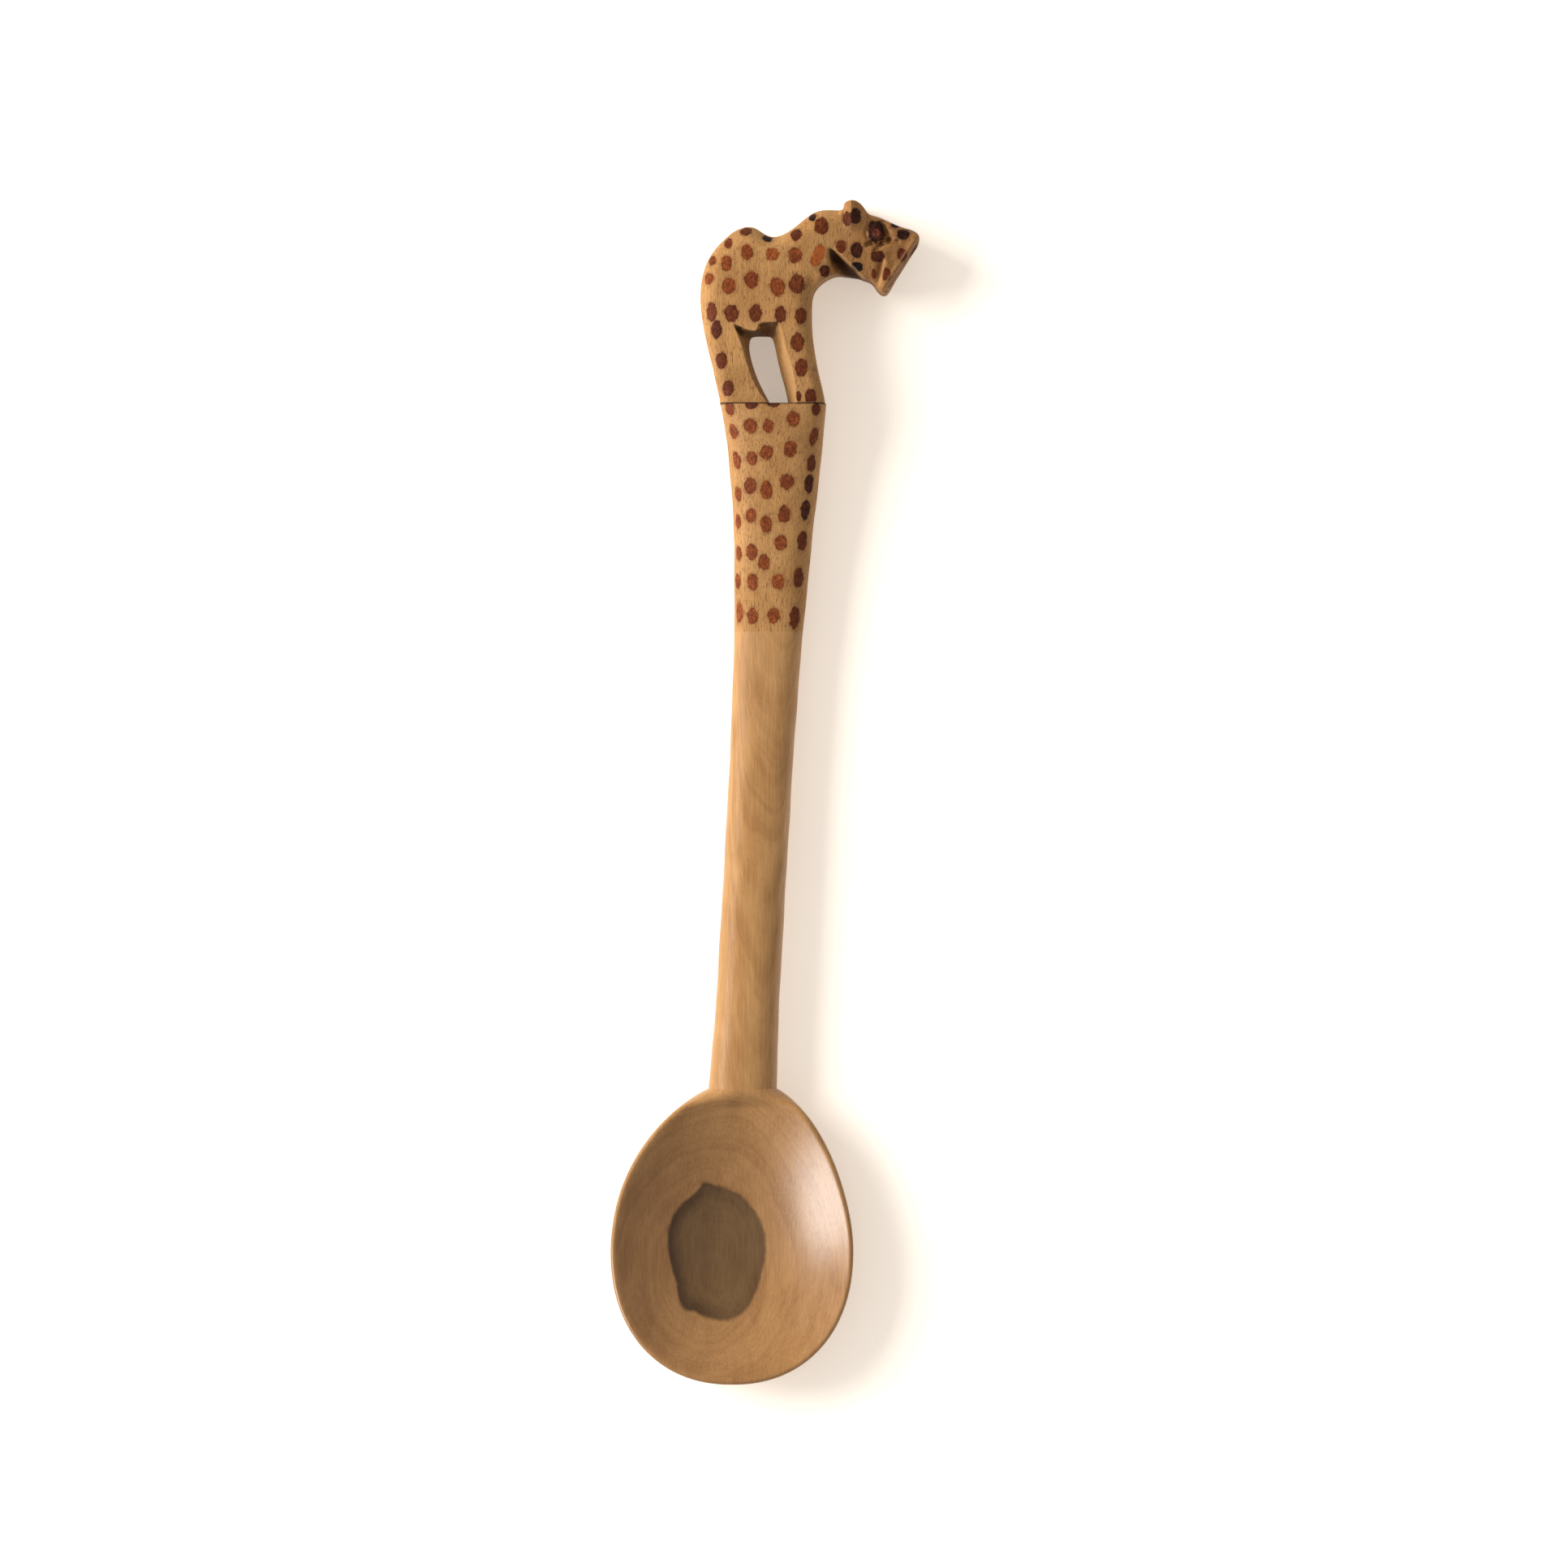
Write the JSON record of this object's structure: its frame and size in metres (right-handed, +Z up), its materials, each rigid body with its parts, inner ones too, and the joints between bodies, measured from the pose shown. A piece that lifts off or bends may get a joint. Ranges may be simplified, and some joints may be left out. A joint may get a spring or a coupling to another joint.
{
  "type": "carved spoon with giraffe handle",
  "caption": "One-piece carved wooden spoon: pointed-oval bowl, slender stem, spotted grip, and a small standing spotted giraffe at the handle's end.",
  "frame": {"origin": "middle of the bounding box, on the table that the spoon lies on", "axes": "+Y runs from the bowl's tip to the animal's ears, +X is the way the animal faces, and +Z is up, out of the bowl"},
  "size_m": [0.0784, 0.2998, 0.022],
  "materials": {
    "polished_wood": "oiled and rubbed to a satin sheen",
    "spotted_wood": "matte, with burned and stained reddish-brown spots",
    "burnt_wood": "matte, burned dark"
  },
  "bodies": {
    "root": {"bowl": "polished_wood", "stem": "polished_wood", "grip": "spotted_wood", "plinth": "spotted_wood", "hind_leg_right": "spotted_wood", "hind_leg_left": "spotted_wood", "fore_leg_right": "spotted_wood", "fore_leg_left": "spotted_wood", "rump": "spotted_wood", "barrel": "spotted_wood", "shoulder": "spotted_wood", "neck": "spotted_wood", "head": "spotted_wood", "muzzle": "spotted_wood", "ear_right": "spotted_wood", "ear_left": "spotted_wood", "eye_right": "burnt_wood", "eye_left": "burnt_wood"}
  },
  "joints": []
}
